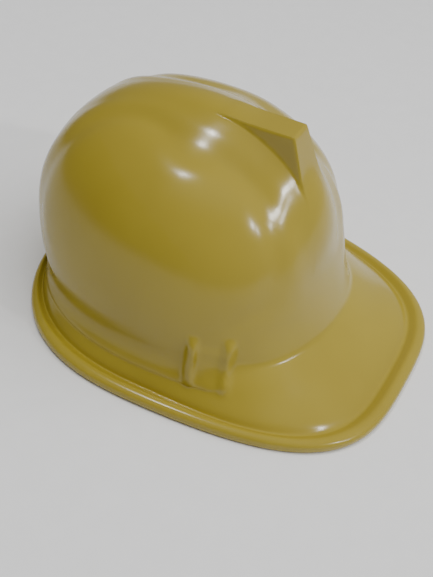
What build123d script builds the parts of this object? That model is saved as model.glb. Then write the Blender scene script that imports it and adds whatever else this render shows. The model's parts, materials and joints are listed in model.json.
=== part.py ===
from build123d import *
import math
import os

# Industrial hard hat: moulded shell, textile cradle, headband and ratchet nape strap.
# Millimetres, +Z up, the peak points to -Y and the wearer's left side is +X.
# The origin is on the table plane under the middle of the dome, so the rim stands on z = 0.

# ---- shell: plan and side profile of the dome wall -----------------------------------
SHELL_THICKNESS = 2.6
WALL_HALF_WIDTH = 97.8
WALL_FRONT = 94.0
WALL_BACK = 110.5
WALL_PLAN_POWER = 2.26
WALL_PROFILE_POWER = 2.43
CROWN_Z = 149.3
CREASE_Z = 23.9
CREASE_RISE_FRONT = 10.3
CREASE_DIP_SIDE = 2.8
DOME_LEAN = 0.13
DOME_BULGE = 0.07
FLARE_FRONT = 13.0
TUCK_BACK = 5.0
FLARE_HEIGHT = 45.0

# ---- shell: raised spine over the crown and the sharp prow at its front end ----------
SPINE_HEIGHT = 8.0
SPINE_HALF_WIDTH = 35.0
SPINE_START_DEG = 5.0
SPINE_FADE_IN_DEG = 40.0
SPINE_FADE_OUT_DEG = 60.0
SPINE_END_DEG = 155.0
DOME_CENTRE_Z = 60.0
PROW_HALF_WIDTH = 9.5
PROW_TIP_Y = -48.5
PROW_TIP_Z = 162.0
PROW_HEEL_Y = 4.0
PROW_HEEL_Z = 157.0
PROW_FOOT_Y = -67.5
PROW_FOOT_Z = 121.0
PROW_ROOT = 14.0

# ---- shell: brim outline and its rolled lip ------------------------------------------
BRIM_HALF_WIDTH = 121.9
BRIM_FRONT = 159.7
BRIM_BACK = 108.0
BRIM_POWER_FRONT = 3.8
BRIM_POWER_BACK = 2.35
BRIM_TAPER = 0.16
BRIM_BOW = 4.8
LIP_CREST_Z = 8.6
LIP_MIDDLE_Z = 4.5
GUTTER_Z = 5.4
GUTTER_INSET = 16.0

# ---- accessory slots in the side wall ------------------------------------------------
SLOT_ANGLE = 60.0
SLOT_WIDTH = 25.0
SLOT_DEPTH = 6.2
SLOT_TOP_Z = 38.0
SLOT_WALL = 2.4
RIB_WIDTH = 4.0
RIB_HEIGHT = 3.4
COVER_LEVELS = (40.4, 32.0, 26.0)
RIB_LEVELS = (44.0, 38.0, 32.0, 26.0)

# ---- cradle: sockets, keys and crown straps ------------------------------------------
FRONT_KEY_ANGLE = 40.0
REAR_KEY_ANGLE = 132.0
KEY_BOTTOM_Z = 31.0
KEY_WIDTH = 24.0
STUD_RADIUS = 3.5
STUD_LENGTH = 26.0
LUG_WIDTH = 19.6
LUG_THICKNESS = 2.0
LUG_HEIGHT = 10.0
SOCKET_CLEARANCE = 0.25
SOCKET_WALL = 2.0
KEY_PLATE = 2.0
KEY_TOP_Z = 55.0
WEBBING_WIDTH = 19.0
WEBBING_THICKNESS = 1.3
CROWN_STRAP_Z = 112.0
STRAP_END_GAP = 2.4
CROWN_PAD_RADIUS = 24.0
CROWN_PAD_THICKNESS = 4.0
CROWN_PAD_DROP = 3.6

# ---- headband and sweatband ----------------------------------------------------------
BAND_HALF_WIDTH = 80.6
BAND_HALF_LENGTH = 92.0
BAND_THICKNESS = 1.6
BAND_BOTTOM_Z = 12.0
BAND_TOP_Z = 44.0
BAND_END_Y = 48.0
SWEATBAND_THICKNESS = 3.6
SWEATBAND_END_Y = -30.0

# ---- nape strap: arms, racks and ratchet ---------------------------------------------
NAPE_Z = 22.0
ARM_HEIGHT = 16.0
ARM_THICKNESS = 1.5
ARM_PIVOT_X = 80.2
ARM_PIVOT_Y = 24.0
ARM_BEND_X = 46.0
RACK_ROOT_X = 34.0
RACK_TIP_X = 9.5
RACK_Y = 86.6
RACK_GAP = 0.3
RIVET_RADIUS = 2.5
RIVET_SPACER_RADIUS = 4.0
RIVET_HEAD_RADIUS = 5.0
RIVET_INNER_X = 76.2
RUNNING_CLEARANCE = 0.08
GEAR_MODULE = 0.8
PINION_TEETH = 10
PRESSURE_ANGLE = 25.0
TOOTH_ADDENDUM = 0.8
TOOTH_DEDENDUM = 1.1
BACKLASH = 0.28
RACK_TRAVEL = 16.2
HOUSING_HALF_WIDTH = 33.0
HOUSING_HEIGHT = 27.0
HOUSING_WALL = 1.5
KNOB_RADIUS = 12.5
KNOB_DEPTH = 6.6
KNOB_GRIPS = 18
NAPE_PAD_THICKNESS = 3.4
HOUSING_SCREW_RADIUS = 0.9
SCREW_HEAD = 0.9
HOUSING_SCREW_PLACES = [(x, z) for x in (-19.0, 19.0) for z in (-11.2, 11.2)]
KNOB_SCREW_RADIUS = 1.2
KNOB_SCREW_HEAD_RADIUS = 2.5
KNOB_RECESS = 1.6
KNOB_HOLLOW = 2.6
BOSS_SIZE = 3.6
PINION_NECK_RADIUS = 3.0
DETENT_RING_RADIUS = 9.0
DETENT_TEETH = 24
DETENT_LEAF_RADIUS = 6.7
DETENT_LEAF_THICKNESS = 1.0
DETENT_LEAF_WIDTH = 2.2

# ---- places that follow from the sizes above -----------------------------------------
SIDES = {"left": 1, "right": -1}
# plan angle from the front, positive to the wearer's left (+X)
KEY_PLACES = {
    "front_left": FRONT_KEY_ANGLE,
    "front_right": -FRONT_KEY_ANGLE,
    "rear_left": REAR_KEY_ANGLE,
    "rear_right": -REAR_KEY_ANGLE,
}
OPPOSITE_KEYS = {"front_left": "rear_right", "front_right": "rear_left"}
# depths inside the outer wall are negative
LUG_OUTER = -SHELL_THICKNESS - 1.0
LUG_INNER = LUG_OUTER - LUG_THICKNESS
SOCKET_INNER = LUG_INNER - SOCKET_CLEARANCE - SOCKET_WALL
PLATE_OUTER = SOCKET_INNER - 0.3
PLATE_INNER = PLATE_OUTER - KEY_PLATE
SOCKET_BOTTOM_Z = KEY_BOTTOM_Z + 4.0
SOCKET_TOP_Z = SOCKET_BOTTOM_Z + LUG_HEIGHT + 2.0
STUD_Z = KEY_BOTTOM_Z + 5.0
RACK_HALF_HEIGHT = ARM_HEIGHT / 2
PITCH_RADIUS = GEAR_MODULE * PINION_TEETH / 2
SLOT_FAR_EDGE = PITCH_RADIUS + 1.3
RACK_PLANES = {"left": RACK_Y, "right": RACK_Y + ARM_THICKNESS + RACK_GAP}
HOUSING_FRONT_Y = RACK_Y - RACK_GAP - HOUSING_WALL
COVER_Y = RACK_PLANES["right"] + ARM_THICKNESS + RACK_GAP
KNOB_Y = COVER_Y + HOUSING_WALL + 0.4

RING_POINTS = 64
DOME_TILTS = (8, 18, 28, 38, 48, 58, 66, 74, 82, 90)
BRIM_STATIONS = 6
LIP_STATION = 4


# ---- formulas of the shell's surface -------------------------------------------------

def plan_unit(angle, power):
    """Point of the unit superellipse in the direction of angle, 0 at the front."""
    s = math.sin(angle)
    c = math.cos(angle)
    radius = (abs(s) ** power + abs(c) ** power) ** (-1.0 / power)
    return radius * s, radius * c


def crease_height(angle):
    """Height of the crease between wall and brim, which climbs towards the brow."""
    front = ((1 + math.cos(angle)) / 2) ** 2
    return CREASE_Z + CREASE_RISE_FRONT * front - CREASE_DIP_SIDE * math.sin(angle) ** 2


def dome_base(angle, tilt):
    """Point of the plain dome: tilt is 0 at the crown and a right angle at the crease."""
    px, py = plan_unit(angle, WALL_PLAN_POWER)
    rho, zeta = plan_unit(tilt, WALL_PROFILE_POWER)
    half = WALL_PROFILE_POWER / 2
    bulge = 1 + DOME_BULGE * 2 * abs(rho * zeta) ** half
    length = WALL_FRONT if py > 0 else WALL_BACK
    crease = crease_height(angle)
    z = crease + (CROWN_Z - crease) * zeta
    skirt = max(0.0, 1 - (z - crease) / FLARE_HEIGHT) ** 2
    front = ((1 + math.cos(angle)) / 2) ** 2
    back = ((1 - math.cos(angle)) / 2) ** 2
    x = rho * bulge * px * WALL_HALF_WIDTH
    y = -rho * bulge * py * length + DOME_LEAN * (z - CREASE_Z)
    y -= skirt * (FLARE_FRONT * front + TUCK_BACK * back)
    return Vector(x, y, z)


def spine_rise(point):
    """How far the crown's raised spine stands off the plain dome at a point."""
    across = min(1.0, abs(point.X) / SPINE_HALF_WIDTH)
    along = math.degrees(math.atan2(point.Z - DOME_CENTRE_Z, -point.Y))
    fade_in = min(1.0, max(0.0, (along - SPINE_START_DEG) / SPINE_FADE_IN_DEG))
    fade_out = min(1.0, max(0.0, (SPINE_END_DEG - along) / SPINE_FADE_OUT_DEG))
    profile = 0.5 + 0.5 * math.cos(math.pi * across)
    return SPINE_HEIGHT * profile * smooth(fade_in) * smooth(fade_out)


def smooth(value):
    """S-shaped step from 0 to 1."""
    return value * value * (3 - 2 * value)


def dome_point(angle, tilt):
    point = dome_base(angle, tilt)
    away = (point - Vector(0, 0, DOME_CENTRE_Z)).normalized()
    return point + away * spine_rise(point)


def brim_outline(angle):
    """Outermost point of the lip."""
    power = BRIM_POWER_FRONT if math.cos(angle) > 0 else BRIM_POWER_BACK
    px, py = plan_unit(angle, power)
    length = BRIM_FRONT if py > 0 else BRIM_BACK
    x = px * BRIM_HALF_WIDTH
    y = -py * length
    reach = max(0.0, py)
    x *= 1 - BRIM_TAPER * reach * reach / (reach + 0.25)
    y -= BRIM_BOW * (1 - px * px) * reach * reach
    return Vector(x, y, LIP_MIDDLE_Z)


def brim_points(angle):
    """Crease, slope, gutter, lip crest and lip edge of the brim on one radius."""
    crease = dome_point(angle, math.pi / 2)
    edge = brim_outline(angle)
    outward = Vector(edge.X - crease.X, edge.Y - crease.Y, 0)
    gap = outward.length
    outward = outward.normalized()
    inset = GUTTER_INSET * gap / (gap + 8.0)

    def at(distance, z):
        return Vector(edge.X, edge.Y, 0) - outward * distance + Vector(0, 0, z)

    slope = (gap + inset) / 2
    slope_z = (crease.Z + GUTTER_Z) / 2 - 1.0
    return [
        at(slope, slope_z),
        at(inset, GUTTER_Z),
        at(inset * 0.5, LIP_CREST_Z),
        at(inset * 0.15, LIP_CREST_Z - 1.2),
        at(0, LIP_MIDDLE_Z),
        at(1.6, 0),
    ]


def closed_ring(points):
    return Wire([Edge.make_spline(points, periodic=True)])


def shell_skin(inset, bottom_z):
    """Closed solid bounded by the shell's surface, moved inwards by inset."""
    centre = Vector(0, 0, DOME_CENTRE_Z)
    angles = [2 * math.pi * k / RING_POINTS for k in range(RING_POINTS)]
    sections = [Vertex(0, dome_point(0, 0).Y, dome_point(0, 0).Z - inset)]
    for tilt in DOME_TILTS:
        ring = []
        for angle in angles:
            point = dome_point(angle, math.radians(tilt))
            level = (point - centre).normalized()
            ring.append(point - level * inset)
        sections.append(closed_ring(ring))
    for row in range(BRIM_STATIONS):
        ring = []
        for angle in angles:
            point = brim_points(angle)[row]
            flat = Vector(point.X, point.Y, 0).normalized()
            if row >= LIP_STATION:
                point = point - flat * inset
            elif inset:
                point = point - flat * (inset * 0.4) - Vector(0, 0, inset * 0.9)
            if row == BRIM_STATIONS - 1:
                point = Vector(point.X, point.Y, bottom_z)
            ring.append(point)
        sections.append(closed_ring(ring))
    return Solid.make_loft(sections, ruled=True)


def prow(inset):
    """Sharp-cornered block at the front end of the spine, seen from the side."""
    outline = Polyline(
        (PROW_HEEL_Y + PROW_ROOT, PROW_HEEL_Z - PROW_ROOT),
        (PROW_HEEL_Y, PROW_HEEL_Z),
        (PROW_TIP_Y, PROW_TIP_Z),
        (PROW_FOOT_Y, PROW_FOOT_Z),
        (PROW_FOOT_Y + PROW_ROOT + 6, PROW_FOOT_Z - 8),
        close=True,
    )
    side = make_face(outline)
    if inset:
        side = offset(side, -inset)
    return extrude(Plane.YZ * side, PROW_HALF_WIDTH - inset, both=True)


# ---- places round the wall -----------------------------------------------------------

def wall_plane(angle_deg, z):
    """Plane on the outer wall: local X along the wall, Y outwards, Z up; origin on the wall."""
    tilt = math.radians(72)
    angle = math.radians(angle_deg)
    for _ in range(40):
        point = dome_point(angle, tilt)
        tilt += (point.Z - z) * 0.004
    before = dome_point(angle - 0.05, tilt)
    after = dome_point(angle + 0.05, tilt)
    along = Vector(after.X - before.X, after.Y - before.Y, 0).normalized()
    return Plane(origin=(point.X, point.Y, 0), x_dir=along, z_dir=(0, 0, 1))


def block(x0, x1, y0, y1, z0, z1):
    """Box between two corners."""
    box = Box(x1 - x0, y1 - y0, z1 - z0)
    return Pos((x0 + x1) / 2, (y0 + y1) / 2, (z0 + z1) / 2) * box


def outward_sign(plane):
    """+1 where the plane's local Y points away from the hat's middle."""
    middle = Vector(plane.origin.X, plane.origin.Y, 0)
    return 1 if plane.y_dir.dot(middle) > 0 else -1


def radial_block(plane, half_width, r0, r1, z0, z1):
    """Box with its depth measured outwards from the wall."""
    sign = outward_sign(plane)
    low = min(sign * r0, sign * r1)
    high = max(sign * r0, sign * r1)
    return plane * block(-half_width, half_width, low, high, z0, z1)


def slot_plane(side):
    return wall_plane(side * SLOT_ANGLE, SLOT_TOP_Z)


def key_plane(place):
    low = wall_plane(KEY_PLACES[place], KEY_BOTTOM_Z)
    high = wall_plane(KEY_PLACES[place], SOCKET_TOP_Z)
    return min(low, high, key=lambda plane: plane.origin.length)


def wall_following_block(side, half_width, height, z_levels):
    """Block that stands off the wall by height and follows its slope from the top level down."""
    plane = slot_plane(side)
    sign = outward_sign(plane)
    outline = [(-14.0, z_levels[0]), (-14.0, z_levels[-1])]
    for z in reversed(z_levels):
        wall = wall_plane(side * SLOT_ANGLE, z).origin
        reach = (wall - plane.origin).dot(plane.y_dir) * sign
        outline.append((reach + height, z))
    face = make_face(Polyline(*[(sign * r, z) for r, z in outline], close=True))
    section = Plane(origin=plane.origin, x_dir=plane.y_dir, z_dir=plane.x_dir)
    if section.y_dir.Z < 0:
        section = Plane(origin=plane.origin, x_dir=plane.y_dir, z_dir=plane.x_dir * -1)
    return extrude(section * face, half_width, both=True)


# ---- shell ---------------------------------------------------------------------------

def make_shell():
    outer = shell_skin(0, 0)
    inner = shell_skin(SHELL_THICKNESS, -1.0)
    body = outer + prow(0)
    cavity = inner + prow(SHELL_THICKNESS)
    for side in SIDES.values():
        plane = slot_plane(side)
        half = SLOT_WIDTH / 2
        body += wall_following_block(side, half + SLOT_WALL, SLOT_WALL, COVER_LEVELS)
        for end in (-1, 1):
            rib = wall_following_block(side, RIB_WIDTH / 2, SLOT_WALL + RIB_HEIGHT, RIB_LEVELS)
            body += Pos(plane.x_dir * (end * (half + RIB_WIDTH / 2 - 1))) * rib
    body -= cavity
    for side in SIDES.values():
        plane = slot_plane(side)
        half = SLOT_WIDTH / 2
        sleeve = radial_block(
            plane, half + SLOT_WALL, -SLOT_DEPTH - SLOT_WALL, 14, 12, SLOT_TOP_Z + SLOT_WALL
        )
        body += sleeve & outer
        body -= radial_block(plane, half, -SLOT_DEPTH, 0, -2, SLOT_TOP_Z)
    for place in KEY_PLACES:
        plane = key_plane(place)
        boss = radial_block(
            plane, KEY_WIDTH / 2 + 1, SOCKET_INNER, 14, SOCKET_BOTTOM_Z, SOCKET_TOP_Z
        )
        body += boss & outer
        body -= radial_block(
            plane,
            LUG_WIDTH / 2 + SOCKET_CLEARANCE,
            LUG_INNER - SOCKET_CLEARANCE,
            LUG_OUTER + SOCKET_CLEARANCE,
            SOCKET_BOTTOM_Z - 1,
            SOCKET_BOTTOM_Z + LUG_HEIGHT + 0.5,
        )
    return body


# ---- cradle --------------------------------------------------------------------------

def make_key(place):
    """Plastic key: a lug up in the shell's socket, a hook under it and a plate for the webbing."""
    plane = key_plane(place)
    lug = radial_block(
        plane, LUG_WIDTH / 2, LUG_INNER, LUG_OUTER, KEY_BOTTOM_Z, SOCKET_BOTTOM_Z + LUG_HEIGHT
    )
    hook = radial_block(
        plane, KEY_WIDTH / 2, PLATE_INNER, LUG_OUTER, KEY_BOTTOM_Z, SOCKET_BOTTOM_Z - 0.3
    )
    plate = radial_block(
        plane, KEY_WIDTH / 2, PLATE_INNER, PLATE_OUTER, KEY_BOTTOM_Z, KEY_TOP_Z
    )
    key = lug + hook + plate
    return key - stud_axis(place, STUD_RADIUS)


def stud_axis(place, radius):
    """Cylinder from the key's plate inwards through the headband."""
    plane = key_plane(place)
    sign = outward_sign(plane)
    inward = plane.y_dir * -sign
    start = plane.origin + inward * -PLATE_OUTER + Vector(0, 0, STUD_Z)
    axis = Plane(origin=start, z_dir=inward)
    return axis * extrude(Circle(radius), STUD_LENGTH)


def elliptic_wall(half_width, half_length, thickness, z0, z1):
    outer = Ellipse(half_width, half_length)
    inner = Ellipse(half_width - thickness, half_length - thickness)
    return Pos(0, 0, z0) * extrude(outer - inner, z1 - z0)


def front_part(solid, end_y):
    return solid & block(-200, 200, -200, end_y, -50, 200)


def make_headband():
    band = elliptic_wall(
        BAND_HALF_WIDTH, BAND_HALF_LENGTH, BAND_THICKNESS, BAND_BOTTOM_Z, BAND_TOP_Z
    )
    band = front_part(band, BAND_END_Y)
    for place in KEY_PLACES:
        band -= stud_axis(place, STUD_RADIUS)
    for side in SIDES.values():
        band -= pivot_cylinder(side, RIVET_RADIUS, RIVET_INNER_X - 5, RIVET_INNER_X + 20)
    return band


def make_studs():
    """Four studs that hang the headband on the keys, ending flush inside the band."""
    hull = extrude(
        Ellipse(BAND_HALF_WIDTH - BAND_THICKNESS, BAND_HALF_LENGTH - BAND_THICKNESS), 100
    )
    studs = []
    for place in KEY_PLACES:
        studs.append((stud_axis(place, STUD_RADIUS) - hull).solids()[0])
    return Compound(studs)


def make_sweatband():
    """Padded brow band that lies inside the front of the headband."""
    gap = 0.3
    band = elliptic_wall(
        BAND_HALF_WIDTH - BAND_THICKNESS - gap,
        BAND_HALF_LENGTH - BAND_THICKNESS - gap,
        SWEATBAND_THICKNESS,
        BAND_BOTTOM_Z - 1.5,
        BAND_TOP_Z - 3,
    )
    return front_part(band, SWEATBAND_END_Y)


def strap_end(place):
    """Middle of the inner face of a key's plate, on the table plane."""
    plane = key_plane(place)
    return plane.origin + plane.y_dir * (outward_sign(plane) * PLATE_INNER)


def crown_strap(place, rise):
    """Webbing from a front key over the head to the rear key on the other side."""
    front = strap_end(place)
    rear = strap_end(OPPOSITE_KEYS[place])
    middle = (front + rear) / 2
    across = front - rear
    reach = across.length / 2 - STRAP_END_GAP
    bottom = BAND_TOP_Z + 1.5
    height = CROWN_STRAP_Z + rise - bottom
    outer = Ellipse(reach, height)
    inner = Ellipse(reach - WEBBING_THICKNESS, height - WEBBING_THICKNESS)
    arch = (outer - inner) & (Pos(0, height / 2 + 2) * Rectangle(2 * reach + 4, height + 4))
    foot = Vector(middle.X, middle.Y, bottom)
    upright = Plane(origin=foot, x_dir=across, z_dir=across.cross(Vector(0, 0, 1)))
    return extrude(upright * arch, WEBBING_WIDTH / 2, both=True)


def make_crown_pad():
    top = CROWN_STRAP_Z - WEBBING_THICKNESS - CROWN_PAD_DROP
    front = strap_end("front_left")
    rear = strap_end("rear_right")
    crossing = front + (rear - front) * (front.X / (front.X - rear.X))
    pad = Pos(0, crossing.Y, top - CROWN_PAD_THICKNESS / 2) * Cylinder(
        CROWN_PAD_RADIUS, CROWN_PAD_THICKNESS
    )
    return fillet(pad.edges(), CROWN_PAD_THICKNESS * 0.4)


# ---- nape strap ----------------------------------------------------------------------

def pivot_cylinder(side, radius, x0, x1):
    axis = Plane(origin=(side * x0, ARM_PIVOT_Y, NAPE_Z), z_dir=(side, 0, 0))
    return axis * extrude(Circle(radius), x1 - x0)


def make_arm(name):
    """Flexible strap from the pivot on the headband round to the root of the rack."""
    side = SIDES[name]
    plane_y = RACK_PLANES[name]
    half_x = ARM_PIVOT_X - ARM_BEND_X
    half_y = plane_y - ARM_PIVOT_Y
    outer = Ellipse(half_x + ARM_THICKNESS, half_y + ARM_THICKNESS)
    inner = Ellipse(half_x, half_y)
    quarter = (outer - inner) & (Pos(50, 50) * Rectangle(100, 100))
    bend = Pos(ARM_BEND_X, ARM_PIVOT_Y, NAPE_Z - RACK_HALF_HEIGHT) * extrude(quarter, ARM_HEIGHT)
    straight = block(
        RACK_ROOT_X + 0.2, ARM_BEND_X, plane_y, plane_y + ARM_THICKNESS,
        NAPE_Z - RACK_HALF_HEIGHT, NAPE_Z + RACK_HALF_HEIGHT,
    )
    end_plate = block(
        ARM_PIVOT_X, ARM_PIVOT_X + ARM_THICKNESS, ARM_PIVOT_Y - 9, ARM_PIVOT_Y,
        NAPE_Z - RACK_HALF_HEIGHT, NAPE_Z + RACK_HALF_HEIGHT,
    )
    arm = bend + straight + end_plate
    if side < 0:
        arm = mirror(arm, Plane.YZ)
    hole = pivot_cylinder(side, RIVET_RADIUS + RUNNING_CLEARANCE, ARM_PIVOT_X - 5, ARM_PIVOT_X + 9)
    return arm - hole


def make_rivet(side):
    """Shouldered rivet: through the band, a spacer, the arm and a head outside it."""
    pin = pivot_cylinder(side, RIVET_RADIUS, RIVET_INNER_X, ARM_PIVOT_X + ARM_THICKNESS + 1.5)
    spacer = pivot_cylinder(side, RIVET_SPACER_RADIUS, ARM_PIVOT_X - 1.2, ARM_PIVOT_X - 0.2)
    head = pivot_cylinder(
        side, RIVET_HEAD_RADIUS, ARM_PIVOT_X + ARM_THICKNESS + 0.2, ARM_PIVOT_X + ARM_THICKNESS + 1.5
    )
    return pin + spacer + head


def rack_tooth_row(direction, x_from, x_to):
    """Straight-sided teeth that reach from the slot's edge towards the pinion."""
    pitch = math.pi * GEAR_MODULE
    slope = math.tan(math.radians(PRESSURE_ANGLE))
    half = pitch / 4 - BACKLASH / 2
    tip = half - TOOTH_ADDENDUM * GEAR_MODULE * slope
    root = half + TOOTH_DEDENDUM * GEAR_MODULE * slope
    tip_z = PITCH_RADIUS - TOOTH_ADDENDUM * GEAR_MODULE
    root_z = PITCH_RADIUS + TOOTH_DEDENDUM * GEAR_MODULE
    teeth = []
    first = math.ceil((x_from + root) / pitch - 0.5)
    last = math.floor((x_to - root) / pitch - 0.5)
    for k in range(first, last + 1):
        x = (k + 0.5) * pitch
        tooth = Polyline(
            (x - root, direction * (root_z + 0.4)),
            (x - root, direction * root_z),
            (x - tip, direction * tip_z),
            (x + tip, direction * tip_z),
            (x + root, direction * root_z),
            (x + root, direction * (root_z + 0.4)),
            close=True,
        )
        teeth.append(make_face(tooth))
    return teeth


def make_rack(name):
    """Flat toothed end of one arm; the left one has its teeth below the pinion."""
    side = SIDES[name]
    direction = -side
    root_z = PITCH_RADIUS + TOOTH_DEDENDUM * GEAR_MODULE
    tab_x = (side * RACK_ROOT_X - side * RACK_TIP_X) / 2
    tab = Pos(tab_x, 0) * Rectangle(RACK_ROOT_X + RACK_TIP_X, ARM_HEIGHT)
    slot_near = -side * (RACK_TIP_X - 3.0)
    slot_far = side * (RACK_TRAVEL + RACK_TIP_X - 3.0)
    slot_z0 = min(direction * root_z, -direction * SLOT_FAR_EDGE)
    slot_z1 = max(direction * root_z, -direction * SLOT_FAR_EDGE)
    slot = Pos((slot_near + slot_far) / 2, (slot_z0 + slot_z1) / 2) * Rectangle(
        abs(slot_far - slot_near), slot_z1 - slot_z0
    )
    face = tab - slot
    for tooth in rack_tooth_row(direction, min(slot_near, slot_far), max(slot_near, slot_far)):
        face += tooth
    plane = Plane(origin=(0, RACK_PLANES[name] + ARM_THICKNESS, NAPE_Z), x_dir=(1, 0, 0), z_dir=(0, -1, 0))
    return extrude(plane * face, ARM_THICKNESS)


def involute_tooth(angle):
    """One pinion tooth as a face, pointing along angle."""
    base = PITCH_RADIUS * math.cos(math.radians(PRESSURE_ANGLE))
    tip = PITCH_RADIUS + TOOTH_ADDENDUM * GEAR_MODULE
    root = PITCH_RADIUS - TOOTH_DEDENDUM * GEAR_MODULE
    half_pitch = math.pi / (2 * PINION_TEETH)
    involute = math.tan(math.radians(PRESSURE_ANGLE)) - math.radians(PRESSURE_ANGLE)
    half_base = half_pitch + involute - BACKLASH / (2 * PITCH_RADIUS)
    flank = []
    steps = 6
    for k in range(steps + 1):
        radius = base + (tip - base) * k / steps
        roll = math.acos(base / radius)
        flank.append((radius, half_base - (math.tan(roll) - roll)))
    left = [(root - 0.3, half_base), (base - 0.01, half_base)] + flank[1:]
    points = [(r * math.cos(angle + a), r * math.sin(angle + a)) for r, a in left]
    points += [(r * math.cos(angle - a), r * math.sin(angle - a)) for r, a in reversed(left)]
    return make_face(Polyline(*points, close=True))


def make_pinion():
    """Pinion between the two racks, with a square boss up into the knob."""
    root = PITCH_RADIUS - TOOTH_DEDENDUM * GEAR_MODULE
    profile = Circle(root)
    for k in range(PINION_TEETH):
        profile += involute_tooth(2 * math.pi * k / PINION_TEETH + math.pi / 2)
    start = RACK_Y - RACK_GAP / 2
    depth = COVER_Y - RACK_GAP / 2 - start
    plane = Plane(origin=(0, start, NAPE_Z), x_dir=(1, 0, 0), z_dir=(0, -1, 0))
    gear = extrude(plane * profile, -depth)
    neck_plane = Plane(origin=(0, start + depth, NAPE_Z), x_dir=(1, 0, 0), z_dir=(0, 1, 0))
    neck = extrude(neck_plane * Circle(PINION_NECK_RADIUS), KNOB_Y - start - depth)
    boss = extrude(neck_plane * Rectangle(BOSS_SIZE, BOSS_SIZE), KNOB_Y - start - depth + 3.0)
    bore = extrude(neck_plane * Circle(KNOB_SCREW_RADIUS), 20, both=True)
    return gear + neck + boss - bore


def disc_y(radius, y0, y1):
    plane = Plane(origin=(0, y0, NAPE_Z), x_dir=(1, 0, 0), z_dir=(0, 1, 0))
    return extrude(plane * Circle(radius), y1 - y0)


def housing_plate(y0, y1, grow=0.0):
    """Plate with the rounded outline of the ratchet housing."""
    plane = Plane(origin=(0, y0, NAPE_Z), x_dir=(1, 0, 0), z_dir=(0, 1, 0))
    outline = RectangleRounded(
        2 * (HOUSING_HALF_WIDTH + grow), HOUSING_HEIGHT + 2 * grow, 8 + grow
    )
    return extrude(plane * outline, y1 - y0)


def screw_cylinder(x, z, radius, y0, y1):
    plane = Plane(origin=(x, y0, NAPE_Z + z), x_dir=(1, 0, 0), z_dir=(0, 1, 0))
    return extrude(plane * Circle(radius), y1 - y0)


def make_housing():
    """Front half of the ratchet housing with the channel that the racks run in."""
    plate = housing_plate(HOUSING_FRONT_Y, COVER_Y)
    channel = block(
        -60, 60, RACK_Y - RACK_GAP, COVER_Y + 1,
        NAPE_Z - RACK_HALF_HEIGHT - 0.4, NAPE_Z + RACK_HALF_HEIGHT + 0.4,
    )
    housing = plate - channel
    pivot = disc_y(2.2, HOUSING_FRONT_Y - 1, RACK_Y)
    housing -= pivot
    for x, z in HOUSING_SCREW_PLACES:
        housing -= screw_cylinder(x, z, HOUSING_SCREW_RADIUS, RACK_Y, COVER_Y + 1)
    return housing


def make_cover():
    """Rear half of the housing: closes the channel and carries the knob."""
    cover = housing_plate(COVER_Y, COVER_Y + HOUSING_WALL)
    cover -= disc_y(PINION_NECK_RADIUS + RUNNING_CLEARANCE, COVER_Y - 1, COVER_Y + 5)
    for x, z in HOUSING_SCREW_PLACES:
        cover -= screw_cylinder(x, z, HOUSING_SCREW_RADIUS, COVER_Y - 1, COVER_Y + 5)
    return cover


def make_housing_screws():
    screws = []
    for x, z in HOUSING_SCREW_PLACES:
        shank = screw_cylinder(x, z, HOUSING_SCREW_RADIUS, RACK_Y, COVER_Y + HOUSING_WALL)
        cover_face = COVER_Y + HOUSING_WALL
        head = screw_cylinder(x, z, 2 * HOUSING_SCREW_RADIUS, cover_face, cover_face + SCREW_HEAD)
        screws.append((shank + head).solids()[0])
    return Compound(screws)


def make_knob():
    """Scalloped knob, hollow underneath, with a ring of ratchet teeth inside its rim."""
    knob = disc_y(KNOB_RADIUS, KNOB_Y, KNOB_Y + KNOB_DEPTH)
    for k in range(KNOB_GRIPS):
        angle = 2 * math.pi * k / KNOB_GRIPS
        x = (KNOB_RADIUS + 0.7) * math.cos(angle)
        z = (KNOB_RADIUS + 0.7) * math.sin(angle)
        knob -= screw_cylinder(x, z, 1.5, KNOB_Y - 1, KNOB_Y + KNOB_DEPTH + 1)
    hollow = disc_y(DETENT_RING_RADIUS, KNOB_Y - 1, KNOB_Y + KNOB_HOLLOW)
    knob -= hollow
    for k in range(DETENT_TEETH):
        angle = 2 * math.pi * k / DETENT_TEETH
        notch = screw_cylinder(
            DETENT_RING_RADIUS * math.cos(angle), DETENT_RING_RADIUS * math.sin(angle), 0.8,
            KNOB_Y - 1, KNOB_Y + KNOB_HOLLOW,
        )
        knob -= notch
    hub = disc_y(3.9, KNOB_Y, KNOB_Y + KNOB_HOLLOW)
    knob += hub
    socket_plane = Plane(origin=(0, KNOB_Y - 1, NAPE_Z), x_dir=(1, 0, 0), z_dir=(0, 1, 0))
    knob -= extrude(socket_plane * Rectangle(BOSS_SIZE, BOSS_SIZE), 4.0)
    knob -= disc_y(KNOB_SCREW_RADIUS, KNOB_Y, KNOB_Y + KNOB_DEPTH + 1)
    knob -= disc_y(KNOB_SCREW_HEAD_RADIUS + 0.1, KNOB_Y + KNOB_DEPTH - KNOB_RECESS, KNOB_Y + KNOB_DEPTH + 1)
    return knob


def make_knob_screw():
    shank = disc_y(KNOB_SCREW_RADIUS, RACK_Y + 0.5, KNOB_Y + KNOB_DEPTH - KNOB_RECESS)
    head = disc_y(KNOB_SCREW_HEAD_RADIUS, KNOB_Y + KNOB_DEPTH - KNOB_RECESS, KNOB_Y + KNOB_DEPTH - 0.2)
    slot = block(
        -3, 3, KNOB_Y + KNOB_DEPTH - 0.8, KNOB_Y + KNOB_DEPTH + 1, NAPE_Z - 0.35, NAPE_Z + 0.35
    )
    return shank + head - slot


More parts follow.
